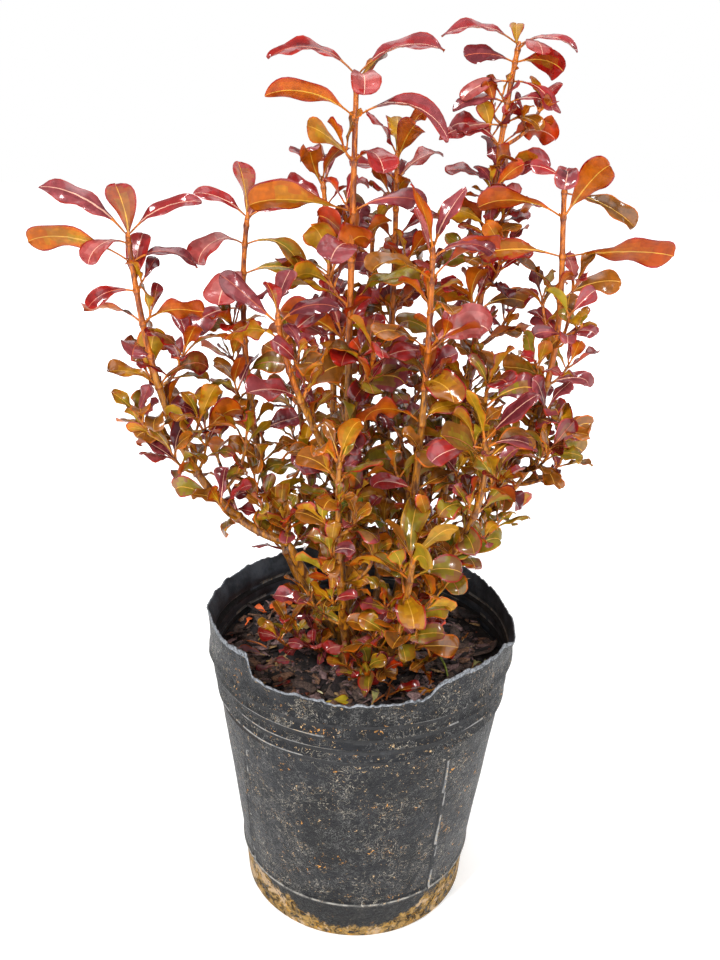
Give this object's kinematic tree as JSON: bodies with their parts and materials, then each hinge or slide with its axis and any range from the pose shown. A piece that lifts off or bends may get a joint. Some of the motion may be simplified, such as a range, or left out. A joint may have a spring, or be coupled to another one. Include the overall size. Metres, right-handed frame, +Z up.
{
  "type": "potted coprosma",
  "caption": "Bushy bronze-leaved evergreen shrub with upright stems and paired glossy leaves, growing in a soft black nursery pot of potting mix.",
  "frame": {"origin": "middle of the pot's flat underside, on the surface that it stands on", "axes": "+Z up along the pot's axis, +X to the right and +Y to the back of the reference view"},
  "size_m": [0.2835, 0.1917, 0.4357],
  "materials": {
    "pot_plastic": "matte charcoal nursery-pot plastic, dusty and finely scratched, mud on the foot band",
    "potting_mix": "rough dark bark and peat, with fallen leaves",
    "bark": "satin copper-orange young bark with ringed nodes",
    "leaves": "glossy burgundy to bronze leaves, amber to olive beneath"
  },
  "bodies": {
    "root": {"crown": "bark", "pot": "pot_plastic", "potting_mix": "potting_mix", "shoot_back": "leaves", "shoot_back_left": "leaves", "shoot_back_right": "leaves", "shoot_centre": "leaves", "shoot_far_left": "leaves", "shoot_far_right": "leaves", "shoot_fork_sprig": "leaves", "shoot_left": "leaves", "shoot_left_front": "leaves", "shoot_low_centre": "leaves", "shoot_low_front": "leaves", "shoot_low_right": "leaves", "shoot_rear": "leaves", "shoot_rear_left": "leaves", "shoot_rear_right": "leaves", "shoot_right_front": "leaves", "shoot_tuft_back_left": "leaves", "shoot_tuft_back_right": "leaves", "shoot_tuft_front": "leaves", "shoot_tuft_left": "leaves", "shoot_tuft_right": "leaves", "stem_back": "bark", "stem_back_left": "bark", "stem_back_right": "bark", "stem_centre": "bark", "stem_far_left": "bark", "stem_far_left_low": "bark", "stem_far_right": "bark", "stem_left": "bark", "stem_left_front": "bark", "stem_low_centre": "bark", "stem_low_front": "bark", "stem_low_right": "bark", "stem_rear": "bark", "stem_rear_left": "bark", "stem_rear_right": "bark", "stem_right_front": "bark"}
  },
  "joints": []
}
